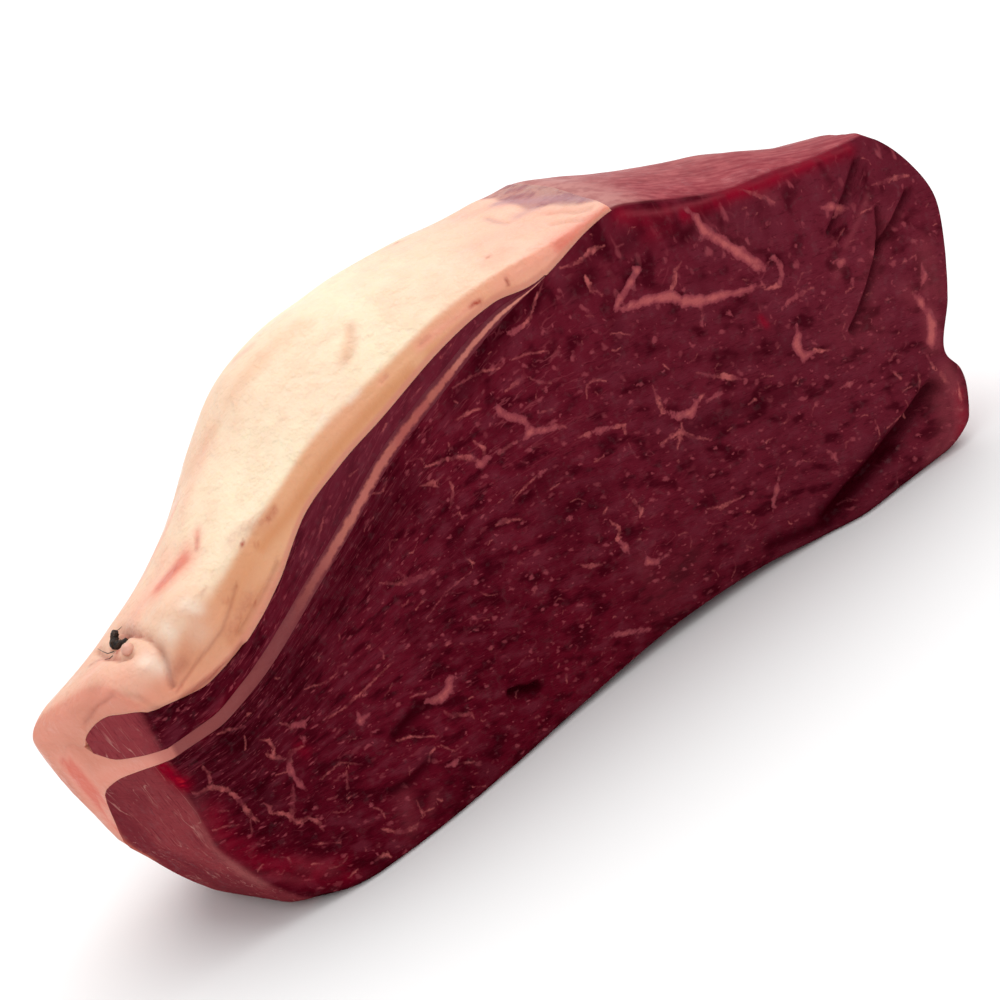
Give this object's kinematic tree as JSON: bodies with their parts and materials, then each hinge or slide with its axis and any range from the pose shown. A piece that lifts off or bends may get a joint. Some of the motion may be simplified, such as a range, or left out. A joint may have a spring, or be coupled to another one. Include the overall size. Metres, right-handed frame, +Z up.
{
  "type": "beef silverside joint",
  "caption": "Raw beef silverside joint with a cap of outer fat, a strip of cap muscle, a fat seam and a large marbled lean, standing on a flat base.",
  "frame": {"origin": "centre of the base, under the middle of the bounding box", "axes": "+X along the joint from its fat end to its bare end, the front cut faces -Y, +Z up"},
  "size_m": [0.2808, 0.0922, 0.1225],
  "materials": {
    "lean": "raw muscle, moist and softly glossy",
    "seam_fat": "soft pink fat, moist",
    "cap_lean": "raw muscle, moist and softly glossy",
    "outer_fat": "cream fat, satin",
    "vessel": "dark, damp"
  },
  "bodies": {
    "root": {"lean": "lean", "fat_seam": "seam_fat", "cap_muscle": "cap_lean", "fat_cap": "outer_fat", "vessel": "vessel"}
  },
  "joints": []
}
